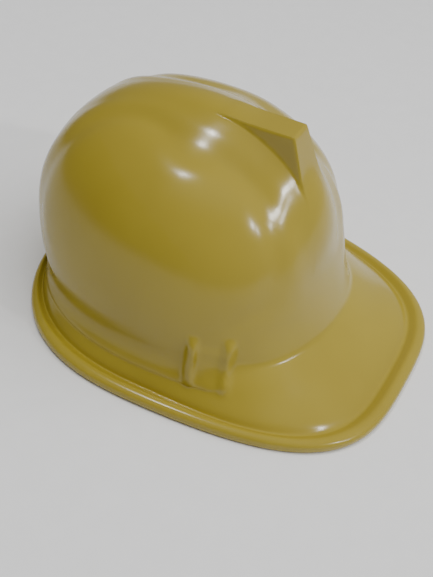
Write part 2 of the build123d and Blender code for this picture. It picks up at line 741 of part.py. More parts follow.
def make_detent_spring():
    """Curved leaf on the cover whose two ends click in the knob's ring of teeth."""
    y0 = COVER_Y + HOUSING_WALL
    outer = disc_y(DETENT_LEAF_RADIUS + DETENT_LEAF_THICKNESS / 2, y0, y0 + DETENT_LEAF_WIDTH)
    ring = outer - disc_y(DETENT_LEAF_RADIUS - DETENT_LEAF_THICKNESS / 2, y0 - 1, y0 + 5)
    leaf = ring - block(-20, 20, y0 - 1, y0 + 5, NAPE_Z + 2.5, NAPE_Z + 20)
    for end in (-1, 1):
        leaf += screw_cylinder(end * 6.9, 2.0, 0.9, y0 + 0.5, y0 + DETENT_LEAF_WIDTH)
    return leaf


def make_nape_pad():
    """Foam pad on the side of the housing that touches the neck."""
    back = HOUSING_FRONT_Y - 0.2
    pad = housing_plate(back - NAPE_PAD_THICKNESS, back, grow=0.5)
    return fillet(pad.edges().filter_by(Plane.XZ), 1.2)


# ---- write every sub-part --------------------------------------------------------

def make_all():
    parts = {
        "shell": make_shell(),
        "headband": make_headband(),
        "headband_studs": make_studs(),
        "sweatband": make_sweatband(),
        "crown_strap_lower": crown_strap("front_left", 0.0),
        "crown_strap_upper": crown_strap("front_right", WEBBING_THICKNESS + 1.2),
        "crown_pad": make_crown_pad(),
        "ratchet_housing": make_housing(),
        "ratchet_cover": make_cover(),
        "housing_screws": make_housing_screws(),
        "ratchet_knob": make_knob(),
        "ratchet_pinion": make_pinion(),
        "knob_screw": make_knob_screw(),
        "detent_spring": make_detent_spring(),
        "nape_pad": make_nape_pad(),
    }
    for place in KEY_PLACES:
        parts["key_" + place] = make_key(place)
    for name, side in SIDES.items():
        parts["nape_arm_" + name] = make_arm(name)
        parts["nape_rack_" + name] = make_rack(name)
        parts["pivot_rivet_" + name] = make_rivet(side)
    return parts


os.makedirs("parts", exist_ok=True)
for node, shape in make_all().items():
    export_step(shape, "parts/" + node + ".step")
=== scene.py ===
import json
import math

import bmesh
import bpy
import numpy as np
from mathutils import Matrix, Vector

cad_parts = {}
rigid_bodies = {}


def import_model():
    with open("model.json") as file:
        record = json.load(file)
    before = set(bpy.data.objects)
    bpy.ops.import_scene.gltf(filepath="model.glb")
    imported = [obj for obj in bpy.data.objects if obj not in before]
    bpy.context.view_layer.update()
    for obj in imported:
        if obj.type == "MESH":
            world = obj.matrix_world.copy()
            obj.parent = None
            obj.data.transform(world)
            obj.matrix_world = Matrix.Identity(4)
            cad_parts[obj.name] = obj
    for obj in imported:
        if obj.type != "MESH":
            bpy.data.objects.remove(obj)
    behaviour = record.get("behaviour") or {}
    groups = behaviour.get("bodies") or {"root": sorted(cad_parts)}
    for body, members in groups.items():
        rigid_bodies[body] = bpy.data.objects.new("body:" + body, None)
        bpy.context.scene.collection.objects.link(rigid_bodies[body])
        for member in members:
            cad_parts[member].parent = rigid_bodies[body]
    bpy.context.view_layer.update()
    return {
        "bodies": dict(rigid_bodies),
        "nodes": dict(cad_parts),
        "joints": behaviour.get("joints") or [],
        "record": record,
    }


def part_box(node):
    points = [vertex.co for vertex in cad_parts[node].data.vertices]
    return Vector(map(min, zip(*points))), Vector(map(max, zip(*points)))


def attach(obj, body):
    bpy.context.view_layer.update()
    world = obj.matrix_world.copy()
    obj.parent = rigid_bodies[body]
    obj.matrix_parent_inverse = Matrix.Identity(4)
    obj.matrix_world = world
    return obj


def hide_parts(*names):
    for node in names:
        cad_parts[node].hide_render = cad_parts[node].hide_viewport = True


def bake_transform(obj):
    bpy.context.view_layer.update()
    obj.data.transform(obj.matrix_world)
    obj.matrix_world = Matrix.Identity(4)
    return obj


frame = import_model()

MM = 0.001
THICKNESS = 2.6

# ---- the shell's driving dimensions, in millimetres, as in the CAD model ---------------
WALL_HALF_WIDTH = 97.8
WALL_FRONT = 94.0
WALL_BACK = 110.5
WALL_PLAN_POWER = 2.26
WALL_PROFILE_POWER = 2.43
CROWN_Z = 149.3
CREASE_Z = 23.9
CREASE_RISE_FRONT = 10.3
CREASE_DIP_SIDE = 2.8
DOME_LEAN = 0.13
DOME_BULGE = 0.07
FLARE_FRONT = 13.0
TUCK_BACK = 5.0
FLARE_HEIGHT = 45.0
SPINE_HEIGHT = 8.0
SPINE_HALF_WIDTH = 35.0
PROW_HALF_WIDTH = 9.5
PROW_TIP_Y = -48.5
PROW_TIP_Z = 162.0
PROW_HEEL_Y = 4.0
PROW_HEEL_Z = 157.0
PROW_FOOT_Y = -67.5
PROW_FOOT_Z = 121.0
BRIM_HALF_WIDTH = 121.9
BRIM_FRONT = 159.7
BRIM_BACK = 108.0
BRIM_POWER_FRONT = 3.8
BRIM_POWER_BACK = 2.35
BRIM_TAPER = 0.16
BRIM_BOW = 4.8
LIP_CREST_Z = 8.6
LIP_MIDDLE_Z = 4.5
GUTTER_Z = 5.4
GUTTER_INSET = 16.0
SLOT_ANGLE = 60.0
SLOT_WIDTH = 25.0
SLOT_WALL = 2.4
SLOT_TOP_Z = 38.0
RIB_HEIGHT = 3.4
RIB_SPACING = 23.6
RIB_SHIFT = 3.0
CENTRE = np.array([0.0, 0.0, 60.0])
WALL_ROWS = 30
BOX_BEVEL = 0.4
STITCH_RADIUS = 0.28


# ---- formulas of the shell's surface ---------------------------------------------------

def smooth(value):
    value = np.clip(value, 0.0, 1.0)
    return value * value * (3 - 2 * value)


def plan_unit(angle, power):
    s = np.sin(angle)
    c = np.cos(angle)
    radius = (np.abs(s) ** power + np.abs(c) ** power) ** (-1.0 / power)
    return radius * s, radius * c


def dome_base(angle, tilt):
    """Plain dome: angle is 0 at the front, tilt is 0 at the crown and a right angle at the crease."""
    px, py = plan_unit(angle, WALL_PLAN_POWER)
    rho, zeta = plan_unit(tilt, WALL_PROFILE_POWER)
    bulge = 1 + DOME_BULGE * 2 * np.abs(rho * zeta) ** (WALL_PROFILE_POWER / 2)
    length = np.where(py > 0, WALL_FRONT, WALL_BACK)
    front = ((1 + np.cos(angle)) / 2) ** 2
    back = ((1 - np.cos(angle)) / 2) ** 2
    crease = CREASE_Z + CREASE_RISE_FRONT * front - CREASE_DIP_SIDE * np.sin(angle) ** 2
    z = crease + (CROWN_Z - crease) * zeta
    skirt = np.clip(1 - (z - crease) / FLARE_HEIGHT, 0.0, None) ** 2
    x = rho * bulge * px * WALL_HALF_WIDTH
    y = -rho * bulge * py * length + DOME_LEAN * (z - CREASE_Z)
    y = y - skirt * (FLARE_FRONT * front + TUCK_BACK * back)
    return np.stack([x, y, z], -1)


def spine_rise(p):
    across = np.minimum(1.0, np.abs(p[..., 0]) / SPINE_HALF_WIDTH)
    along = np.degrees(np.arctan2(p[..., 2] - CENTRE[2], -p[..., 1]))
    profile = 0.5 + 0.5 * np.cos(np.pi * across)
    return SPINE_HEIGHT * profile * smooth((along - 5.0) / 40.0) * smooth((155.0 - along) / 60.0)


def away_from_middle(p):
    d = p - CENTRE
    return d / np.linalg.norm(d, axis=-1, keepdims=True)


def dome_point(angle, tilt):
    p = dome_base(angle, tilt)
    return p + away_from_middle(p) * spine_rise(p)[..., None]


# the side lobe's outline: (distance back along the hat, angle up the side in degrees)
LOBE_OUTLINE = (
    (92, 66), (70, 72), (46, 74), (22, 74.5), (-2, 73.5), (-24, 71.5), (-45, 68), (-61, 62), (-71, 53),
    (-74, 42), (-67, 30), (-47, 20), (-13, 11), (16, 6), (45, 5), (72, 14), (90, 30), (98, 50),
)
LOBE_MIDDLE = (12.0, 42.0)
LOBE_MM_PER_DEGREE = 1.5
LOBE_GROOVE = 1.0
LOBE_SHOULDER = 0.9
LOBE_DISH = 1.3
SHOULDER_LIFT = 2.6


def lobe_waves(heading):
    """Cosines and sines of the heading, for a smooth closed outline."""
    terms = [np.ones_like(heading)]
    for k in range(1, 4):
        terms += [np.cos(k * heading), np.sin(k * heading)]
    return np.stack(terms, -1)


def lobe_place(along, up):
    east = along - LOBE_MIDDLE[0]
    north = (up - LOBE_MIDDLE[1]) * LOBE_MM_PER_DEGREE
    return np.arctan2(north, east), np.hypot(east, north)


def lobe_fit():
    outline = np.array(LOBE_OUTLINE, float)
    heading, reach = lobe_place(outline[:, 0], outline[:, 1])
    waves = lobe_waves(heading)
    calm = np.eye(waves.shape[1]) * 0.02
    return np.linalg.solve(waves.T @ waves + calm, waves.T @ reach)


LOBE_SERIES = lobe_fit()


def lobe_rise(p):
    """Side lobe: a flattened egg-shaped panel inside a soft groove with a raised shoulder."""
    up = np.degrees(np.arctan2(p[..., 2] - CREASE_Z, np.abs(p[..., 0])))
    heading, reach = lobe_place(p[..., 1], up)
    distance = reach - lobe_waves(heading) @ LOBE_SERIES
    groove = -LOBE_GROOVE * np.exp(-(distance / 6.0) ** 2) * (0.15 + 0.85 * smooth((up - 12.0) / 24.0))
    dish = -LOBE_DISH * smooth(-distance / 40.0)
    shoulder = LOBE_SHOULDER * np.exp(-((distance - 12.0) / 8.0) ** 2) * smooth((up - 24.0) / 20.0)
    side = smooth((np.abs(p[..., 0]) - 10.0) / 14.0) * smooth((p[..., 2] - 26.0) / 16.0)
    return (groove + dish + shoulder) * side


def shoulder_rise(p):
    """Extra height of the spine beside the prow."""
    across = smooth((34.0 - np.abs(p[..., 0])) / 28.0)
    along = smooth((p[..., 1] + 80.0) / 30.0) * smooth((60.0 - p[..., 1]) / 70.0)
    return SHOULDER_LIFT * across * along * smooth((p[..., 2] - 90.0) / 30.0)


def smooth_max(a, b, radius):
    h = np.clip(0.5 + 0.5 * (a - b) / radius, 0.0, 1.0)
    return b + (a - b) * h + radius * h * (1 - h)


def smooth_min(a, b, radius):
    return -smooth_max(-a, -b, radius)


def prow_height(p):
    """Height of the sharp-cornered prow over a point of the plan."""
    ahead = -p[..., 1]
    top_slope = (PROW_TIP_Z - PROW_HEEL_Z) / (PROW_HEEL_Y - PROW_TIP_Y)
    top = PROW_HEEL_Z + (ahead + PROW_HEEL_Y) * top_slope
    front_slope = (PROW_TIP_Z - PROW_FOOT_Z) / (PROW_TIP_Y - PROW_FOOT_Y)
    front = PROW_TIP_Z - (ahead + PROW_TIP_Y) * front_slope
    side = PROW_TIP_Z + 2 - (np.abs(p[..., 0]) - PROW_HALF_WIDTH) * 8.0
    behind = PROW_HEEL_Z - 2.0 - (p[..., 1] - PROW_HEEL_Y) * 0.8
    ridge = smooth_min(smooth_min(top, behind, 4.0), front, 1.6)
    return smooth_min(ridge, side, 2.2)


def shaped_dome(angle, tilt, details=True):
    p = dome_point(angle, tilt)
    if details:
        p = p + away_from_middle(p) * (lobe_rise(p) + shoulder_rise(p))[..., None]
        level = p[..., 2]
        raised = smooth_max(level, prow_height(p), 5.0)
        near = smooth((70.0 - tilt * 180 / np.pi) / 8.0) * smooth((45.0 - p[..., 1]) / 20.0)
        p = p.copy()
        p[..., 2] = level + (raised - level) * near
    return p


def brim_outline(angle):
    power = np.where(np.cos(angle) > 0, BRIM_POWER_FRONT, BRIM_POWER_BACK)
    px, py = plan_unit(angle, power)
    length = np.where(py > 0, BRIM_FRONT, BRIM_BACK)
    reach = np.clip(py, 0.0, None)
    x = px * BRIM_HALF_WIDTH * (1 - BRIM_TAPER * reach * reach / (reach + 0.25))
    y = -py * length - BRIM_BOW * (1 - px * px) * reach * reach
    return np.stack([x, y], -1)


def catmull(points, steps):
    """Smooth curve through rows of points; points is (rows, ring, 3)."""
    padded = np.concatenate([2 * points[:1] - points[1:2], points, 2 * points[-1:] - points[-2:-1]])
    rows = []
    for k in range(len(points) - 1):
        a, b, c, d = padded[k:k + 4]
        for j in range(steps[k]):
            t = j / steps[k]
            rows.append(0.5 * (2 * b + (c - a) * t + (2 * a - 5 * b + 4 * c - d) * t ** 2
                               + (3 * b - a - 3 * c + d) * t ** 3))
    rows.append(points[-1])
    return np.stack(rows)


# ---- the grid: a square patch over the crown, then rings down to the lip ---------------

def spread(zones):
    """Grid lines from -1 to 1 out of (end, count) zones."""
    lines = [-1.0]
    for end, count in zones:
        start = lines[-1]
        lines += [start + (end - start) * (k + 1) / count for k in range(count)]
    return np.array(lines)


PATCH_TILT = math.radians(66.0)
LINES_ACROSS = spread([
    (-0.30, 22), (-0.165, 9), (-0.072, 22), (0.072, 14), (0.165, 22), (0.30, 9), (1.0, 22),
])
LINES_ALONG = spread([(-0.35, 24), (0.02, 14), (0.20, 9), (0.44, 14), (0.60, 22), (1.0, 20)])


def patch_coordinates():
    """Angle and tilt of each crossing of the crown patch; along is positive to the front."""
    a, b = np.meshgrid(LINES_ACROSS, LINES_ALONG, indexing="ij")
    u = a * np.sqrt(1 - b * b / 2)
    v = b * np.sqrt(1 - a * a / 2)
    return np.arctan2(u, v), np.hypot(u, v) * PATCH_TILT


def patch_border():
    """Indices of the patch's border, once round."""
    na = len(LINES_ACROSS)
    nb = len(LINES_ALONG)
    index = np.arange(na * nb).reshape(na, nb)
    return np.concatenate([index[:-1, -1], index[-1, :0:-1], index[:0:-1, 0], index[0, :-1]])


def ring_angles():
    angle, _ = patch_coordinates()
    return angle.reshape(-1)[patch_border()]


def slot_swell(p, ribs=True):
    """How far the pocket cover and its two ribs stand off the wall."""
    angle = math.radians(SLOT_ANGLE)
    anchor = dome_point(np.array(angle), np.array(math.radians(88.0)))
    ahead = dome_point(np.array(angle - 0.04), np.array(math.radians(88.0)))
    along = (ahead - anchor)[:2]
    along = along / np.linalg.norm(along)
    side = np.abs(p[..., 0])
    s = (side - anchor[0]) * along[0] + (p[..., 1] - anchor[1]) * along[1] + RIB_SHIFT
    z = p[..., 2]
    half = RIB_SPACING / 2
    cover = SLOT_WALL * 0.6 * smooth((half + 2.0 - np.abs(s)) / 4.0) * smooth((47.0 - z) / 9.0)
    cover = cover * smooth((z - 12.0) / 14.0)
    front = (p[..., 1] < 0) & (side > 40)
    if not ribs:
        return np.where(front, cover, 0.0)
    bar = np.exp(-np.abs((np.abs(s) - half) / 3.6) ** 2.8)
    rib = (RIB_HEIGHT + 0.2) * bar * smooth((53.0 - z) / 9.0) * smooth((z - 13.0) / 12.0)
    return np.where(front, cover + rib, 0.0)


def flat_outward(p):
    d = p.copy()
    d[..., 2] = 0
    return d / np.linalg.norm(d, axis=-1, keepdims=True)


def outer_rings(details=True):
    """Rows of points from the crown patch's border down the wall and out to the foot of the lip."""
    angle = ring_angles()
    right = math.pi / 2
    crease = dome_point(angle, np.full_like(angle, right))
    above = dome_point(angle, np.full_like(angle, right - 0.03))
    step = np.linalg.norm(above - crease, axis=-1)
    edge = brim_outline(angle)
    out = np.stack([edge[:, 0] - crease[:, 0], edge[:, 1] - crease[:, 1], 0 * angle], -1)
    gap = np.linalg.norm(out, axis=-1)
    out = out / gap[:, None]
    inset = GUTTER_INSET * gap / (gap + 8.0)

    def at(distance, z):
        p = -out * distance[:, None]
        p[:, 0] += edge[:, 0]
        p[:, 1] += edge[:, 1]
        p[:, 2] = z
        return p

    ones = np.ones_like(angle)
    slope_end = at(inset + 0.12 * (gap - inset), GUTTER_Z + 0.9 * ones + 0.10 * (crease[:, 2] - GUTTER_Z))
    down = slope_end - crease
    slope_length = np.linalg.norm(down, axis=-1)
    down = down / slope_length[:, None]
    fillet = np.minimum(3.0 + 14.0 * smooth((np.abs(angle) - 0.7) / 0.6), 0.5 * slope_length)
    last = right - 0.03 * fillet / step
    rows = []
    for k in range(1, WALL_ROWS + 1):
        tilt = PATCH_TILT + (last - PATCH_TILT) * k / WALL_ROWS
        rows.append(shaped_dome(angle, tilt, details))
    start = rows[-1]
    finish = crease + down * fillet[:, None]
    for k in range(1, 6):
        t = k / 6
        rows.append(start * (1 - t) ** 2 + crease * 2 * t * (1 - t) + finish * t * t)
    sag = at(0.5 * (gap + inset), 0.5 * (crease[:, 2] + GUTTER_Z) - 0.6 * ones)
    profile = np.stack([
        finish,
        sag,
        slope_end,
        at(inset, GUTTER_Z * ones),
        at(inset * 0.76, GUTTER_Z * ones + 1.3),
        at(inset * 0.5, LIP_CREST_Z * ones),
        at(inset * 0.24, LIP_CREST_Z * ones - 0.5),
        at(inset * 0.06, LIP_CREST_Z * ones - 2.0),
        at(0 * ones, LIP_MIDDLE_Z * ones),
        at(0.25 * ones, 2.0 * ones),
        at(1.5 * ones, 0.25 * ones),
        at(2.6 * ones, 0 * ones),
    ])
    rows += list(catmull(profile, [5, 5, 3, 3, 3, 4, 3, 3, 3, 3, 2]))
    rows = np.stack(rows)
    swell = slot_swell(rows, ribs=details)
    return rows + flat_outward(rows) * swell[..., None]


def ring_normals(rows):
    """Outward normals of rows of rings, by differences."""
    around = np.roll(rows, -1, 1) - np.roll(rows, 1, 1)
    along = np.gradient(rows, axis=0)
    n = np.cross(along, around)
    n = n / np.maximum(np.linalg.norm(n, axis=-1, keepdims=True), 1e-9)
    flip = np.sum(n[5] * flat_outward(rows[5]), -1).mean() < 0
    return -n if flip else n


def build_shell(material):
    """Outer skin, rolled lip and plain inner skin as one closed mesh."""
    angle, tilt = patch_coordinates()
    crown = shaped_dome(angle, tilt)
    plain = dome_point(angle, tilt)
    inner_crown = plain - away_from_middle(plain) * THICKNESS
    outer = outer_rings()
    base = outer_rings(details=False)
    inner = (base - ring_normals(base) * THICKNESS)[:-2]
    inner[-1, :, 2] = 0.0
    inner[-2, :, 2] = np.minimum(inner[-2, :, 2], 1.2)
    vertices = [part.reshape(-1, 3) for part in (crown, outer, inner[::-1], inner_crown)]
    starts = np.cumsum([0] + [len(v) for v in vertices])
    quads = grid_quads(*crown.shape[:2])
    faces = quads.tolist() + (quads[:, ::-1] + starts[3]).tolist()
    border = patch_border()
    ring = np.arange(len(border))
    loops = [border]
    loops += [starts[1] + k * len(border) + ring for k in range(len(outer))]
    loops += [starts[2] + k * len(border) + ring for k in range(len(inner))]
    loops.append(border + starts[3])
    for a, b in zip(loops[:-1], loops[1:]):
        faces += np.stack([a, np.roll(a, -1), np.roll(b, -1), b], -1).tolist()
    shell = make_object("shell_skin", np.concatenate(vertices), faces, material)
    fix_normals(shell)
    declare(shell, "hat", "shell")


# ---- mesh helpers ----------------------------------------------------------------------

def add_object(name, data):
    thing = bpy.data.objects.new(name, data)
    bpy.context.scene.collection.objects.link(thing)
    return thing


def make_object(name, points, faces, material, smooth_shading=True):
    """A mesh object from points in millimetres."""
    mesh = bpy.data.meshes.new(name)
    mesh.from_pydata((np.asarray(points) * MM).tolist(), [], faces)
    mesh.update()
    if smooth_shading:
        mesh.polygons.foreach_set("use_smooth", [True] * len(mesh.polygons))
    mesh.materials.append(material)
    return add_object(name, mesh)


def declare(thing, body, node=None):
    """Parents a piece to the body it rides on and hides the CAD node it stands for, if one is given."""
    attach(thing, body)
    if node is not None:
        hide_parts(node)


def grid_quads(columns, rows):
    """Faces between the points of a grid."""
    index = np.arange(columns * rows).reshape(columns, rows)
    corners = [index[:-1, :-1], index[1:, :-1], index[1:, 1:], index[:-1, 1:]]
    return np.stack(corners, -1).reshape(-1, 4)


def apply_modifiers(thing):
    """Turns an object's modifiers into plain mesh."""
    graph = bpy.context.evaluated_depsgraph_get()
    mesh = bpy.data.meshes.new_from_object(thing.evaluated_get(graph))
    thing.modifiers.clear()
    thing.data = mesh


def sweep(sections):
    """Points and faces of a tube through (n, m, 3) sections, capped at its ends."""
    n, m = sections.shape[:2]
    faces = []
    for i in range(n - 1):
        for j in range(m):
            k = (j + 1) % m
            faces.append((i * m + j, i * m + k, i * m + m + k, i * m + m + j))
    faces.append(tuple(range(m))[::-1])
    faces.append(tuple((n - 1) * m + j for j in range(m)))
    return sections.reshape(-1, 3), faces


UPWARDS = np.array([[0, 0, 1.0]])


def outline_along(middle, first, second, outline):
    """Copies of a flat outline along a middle line, laid on two directions per point."""
    sections = middle[:, None, :] + first[:, None, :] * outline[None, :, 0, None]
    return sections + second[:, None, :] * outline[None, :, 1, None]


def strap_sections(middle, across, facing, half_width, half_thickness):
    """Rounded-rectangle sections along a middle line; across and facing are unit vectors per point."""
    outline = []
    round_points = 3
    corner = min(half_thickness * 0.9, 0.6)
    for sx, sy, start in ((1, 1, 0), (-1, 1, 90), (-1, -1, 180), (1, -1, 270)):
        for k in range(round_points + 1):
            a = math.radians(start + 90 * k / round_points)
            outline.append((
                sx * (half_width - corner) + corner * math.cos(a),
                sy * (half_thickness - corner) + corner * math.sin(a),
            ))
    return outline_along(middle, across, facing, np.array(outline))


def unit(v):
    return v / np.maximum(np.linalg.norm(v, axis=-1, keepdims=True), 1e-9)


def wall_frame(angle_deg, z):
    """Origin on the outer wall at height z, direction along the wall and outward direction, in plan."""
    tilt = math.radians(72.0)
    angle = math.radians(angle_deg)
    for _ in range(60):
        p = dome_point(np.array(angle), np.array(tilt))
        tilt += (p[2] - z) * 0.004
    before = dome_point(np.array(angle - 0.05), np.array(tilt))
    after = dome_point(np.array(angle + 0.05), np.array(tilt))
    along = unit((after - before) * [1, 1, 0])
    outward = np.array([along[1], -along[0], 0.0])
    if outward @ p < 0:
        outward = -outward
    return p * [1, 1, 0], along, outward


def framed_box(frame, angle_deg, x0, x1, r0, z0, z1, into=2.1):
    """Box on the inside of the wall, from depth r0 out into the wall's own thickness."""
    origin, along, outward = frame
    corners = []
    for z in (z0, z1):
        wall, _, _ = wall_frame(angle_deg, z)
        r1 = (wall - origin) @ outward - into
        for x, r in ((x0, r0), (x1, r0), (x1, r1), (x0, r1)):
            corners.append(origin + along * x + outward * r + np.array([0, 0, z]))
    return corners


def box_faces(start):
    base = [(0, 3, 2, 1), (4, 5, 6, 7), (0, 1, 5, 4), (1, 2, 6, 5), (2, 3, 7, 6), (3, 0, 4, 7)]
    return [tuple(start + i for i in face) for face in base]


def boxes_object(name, boxes, material):
    points = []
    faces = []
    for corners in boxes:
        faces += box_faces(len(points))
        points += [list(c) for c in corners]
    thing = make_object(name, points, faces, material, smooth_shading=False)
    fix_normals(thing)
    bevelled(thing, BOX_BEVEL)
    return thing


def bevelled(thing, width, angle=None):
    edge = thing.modifiers.new("edge", "BEVEL")
    edge.width = width * MM
    edge.segments = 2
    if angle is not None:
        edge.limit_method = "ANGLE"
        edge.angle_limit = angle
    apply_modifiers(thing)


def fix_normals(thing, merge=None, flatten=None):
    """Outward faces; first joins points closer than merge and dissolves edges flatter than flatten."""
    work = bmesh.new()
    work.from_mesh(thing.data)
    if merge is not None:
        bmesh.ops.remove_doubles(work, verts=work.verts, dist=merge * MM)
    if flatten is not None:
        bmesh.ops.dissolve_limit(work, angle_limit=flatten, verts=work.verts, edges=work.edges)
    bmesh.ops.recalc_face_normals(work, faces=work.faces)
    work.to_mesh(thing.data)
    work.free()


def refined(node, name, body, material, bevel):
    """A softened copy of a CAD node, with rounded edges."""
    source = frame["nodes"][node]
    mesh = source.data.copy()
    mesh.materials.clear()
    mesh.transform(source.matrix_world)
    thing = add_object(name, mesh)
    fix_normals(thing, merge=0.02, flatten=math.radians(1.5))
    sharp = math.radians(35)
    bevelled(thing, bevel, sharp)
    thing.data.polygons.foreach_set("use_smooth", [True] * len(thing.data.polygons))
    thing.data.set_sharp_from_angle(angle=sharp)
    thing.data.materials.clear()
    thing.data.materials.append(material)
    declare(thing, body, node)


def inflate(thing, pressure, cap, pins):
    """Swells a sewn pad with a cloth simulation and applies the result; pins are held still."""
    frames = 16
    stiffness = 12.0
    group = thing.vertex_groups.new(name="held")
    group.add([int(i) for i in pins], 1.0, "REPLACE")
    rest = np.array([v.co[:] for v in thing.data.vertices])
    cloth = thing.modifiers.new("cloth", "CLOTH")
    cloth.settings.quality = 6
    cloth.settings.mass = 0.15
    cloth.settings.tension_stiffness = stiffness
    cloth.settings.compression_stiffness = stiffness
    cloth.settings.shear_stiffness = 4
    cloth.settings.bending_stiffness = 0.4
    cloth.settings.use_pressure = True
    cloth.settings.uniform_pressure_force = pressure
    cloth.settings.vertex_group_mass = "held"
    cloth.settings.effector_weights.gravity = 0
    cloth.collision_settings.use_collision = False
    cloth.point_cache.frame_start = 1
    cloth.point_cache.frame_end = frames
    for step in range(1, frames + 1):
        bpy.context.scene.frame_set(step)
    graph = bpy.context.evaluated_depsgraph_get()
    swollen = thing.evaluated_get(graph).to_mesh()
    moved = np.array([v.co[:] for v in swollen.vertices]) - rest
    thing.evaluated_get(graph).to_mesh_clear()
    thing.modifiers.remove(cloth)
    bpy.context.scene.frame_set(1)
    length = np.linalg.norm(moved, axis=1, keepdims=True)
    reach = np.maximum(length, 1e-9)
    moved = moved / reach * (cap * MM) * np.tanh(reach / (cap * MM))
    thing.data.vertices.foreach_set("co", (rest + moved).reshape(-1))
    thing.vertex_groups.clear()
    thing.data.update()


def thread_dashes(name, stitches, body, material):
    """Stitches: each is (start, end, outward) in millimetres, drawn as a short raised thread."""
    points = []
    faces = []
    for start, end, outward in stitches:
        start = np.asarray(start, float)
        end = np.asarray(end, float)
        outward = np.asarray(outward, float)
        side = unit(np.cross(end - start, outward))
        base = len(points)
        for t, lift in ((0.0, -0.25), (0.2, 0.12), (0.5, 0.2), (0.8, 0.12), (1.0, -0.25)):
            middle = start + (end - start) * t + outward * lift
            for k in range(6):
                a = math.pi * k / 3
                points.append(middle + STITCH_RADIUS * (side * math.cos(a) + outward * math.sin(a)))
        for i in range(4):
            first = base + i * 6
            for k in range(6):
                k2 = (k + 1) % 6
                faces.append((first + k, first + k2, first + 6 + k2, first + 6 + k))
    declare(make_object(name, points, faces, material), body)


# ---- materials -------------------------------------------------------------------------

def new_material(name):
    material = bpy.data.materials.new(name)
    material.use_nodes = True
    tree = material.node_tree
    shader = tree.nodes["Principled BSDF"]
    return material, tree, shader


def noise(tree, scale, detail=4.0, roughness=0.5):
    place = tree.nodes.new("ShaderNodeTexCoord")
    texture = tree.nodes.new("ShaderNodeTexNoise")
    texture.inputs["Scale"].default_value = scale
    texture.inputs["Detail"].default_value = detail
    texture.inputs["Roughness"].default_value = roughness
    tree.links.new(place.outputs["Object"], texture.inputs["Vector"])
    return texture.outputs["Fac"]


def ramp(tree, source, stops, target):
    """Colour ramp from source into the target socket."""
    node = tree.nodes.new("ShaderNodeValToRGB")
    ends = node.color_ramp.elements
    ends[0].position, ends[0].color = stops[0]
    ends[1].position, ends[1].color = stops[-1]
    for position, colour in stops[1:-1]:
        ends.new(position).color = colour
    tree.links.new(source, node.inputs["Fac"])
    tree.links.new(node.outputs["Color"], target)


def grey(value):
    return (value, value, value, 1.0)


def bump(tree, shader, source, strength, distance):
    node = tree.nodes.new("ShaderNodeBump")
    node.inputs["Strength"].default_value = strength
    node.inputs["Distance"].default_value = distance
    tree.links.new(source, node.inputs["Height"])
    tree.links.new(node.outputs["Normal"], shader.inputs["Normal"])


def shell_plastic():
    """Glossy yellow plastic, faintly cloudy, with smudges and a fine skin."""
    material, tree, shader = new_material("shell_plastic")
    dark = (0.325, 0.245, 0.024, 1)
    light = (0.37, 0.285, 0.032, 1)
    ramp(tree, noise(tree, 9.0, 3.0), [(0.3, dark), (0.7, light)], shader.inputs["Base Color"])
    smudges = noise(tree, 28.0, 5.0, 0.6)
    ramp(tree, smudges, [(0.35, grey(0.16)), (0.7, grey(0.24))], shader.inputs["Roughness"])
    bump(tree, shader, noise(tree, 420.0, 2.0), 0.05, 0.0002)
    shader.inputs["IOR"].default_value = 1.46
    return material


def plastic(name, dark, light, rough=(0.3, 0.42), grain=700.0, strength=0.12):
    """Moulded plastic with a fine grain, faint mottling and handling marks."""
    material, tree, shader = new_material(name)
    clouds = noise(tree, 40.0)
    ramp(tree, clouds, [(0.3, (*dark, 1)), (0.7, (*light, 1))], shader.inputs["Base Color"])
    marks = noise(tree, 90.0, 6.0, 0.65)
    stops = [(0.35, grey(rough[0])), (0.7, grey(rough[1]))]
    ramp(tree, marks, stops, shader.inputs["Roughness"])
    bump(tree, shader, noise(tree, grain, 3.0), strength, 0.0003)
    shader.inputs["IOR"].default_value = 1.49
    return material


def steel():
    material, tree, shader = new_material("steel")
    rings = noise(tree, 300.0, 5.0, 0.6)
    tones = [(0.3, (0.46, 0.46, 0.47, 1)), (0.7, (0.6, 0.6, 0.61, 1))]
    ramp(tree, rings, tones, shader.inputs["Base Color"])
    ramp(tree, rings, [(0.3, grey(0.22)), (0.7, grey(0.4))], shader.inputs["Roughness"])
    bump(tree, shader, rings, 0.15, 0.0002)
    shader.inputs["Metallic"].default_value = 1.0
    return material


def math_node(tree, operation, values):
    """Math node; each value is a socket or a number."""
    node = tree.nodes.new("ShaderNodeMath")
    node.operation = operation
    for k, value in enumerate(values):
        if isinstance(value, float):
            node.inputs[k].default_value = value
        else:
            tree.links.new(value, node.inputs[k])
    return node.outputs[0]


def woven(tree, vector, bands, distortion, operation, fibre_scale):
    """Height of two crossed waves, given as (direction, scale), with half a share of fibre noise."""
    waves = []
    for direction, scale in bands:
        wave = tree.nodes.new("ShaderNodeTexWave")
        wave.bands_direction = direction
        wave.inputs["Scale"].default_value = scale
        wave.inputs["Distortion"].default_value = distortion
        tree.links.new(vector, wave.inputs["Vector"])
        waves.append(wave)
    cross = math_node(tree, operation, [wave.outputs["Fac"] for wave in waves])
    fibre = noise(tree, fibre_scale, 4.0, 0.6)
    return waves, math_node(tree, "MULTIPLY_ADD", [fibre, 0.5, cross])


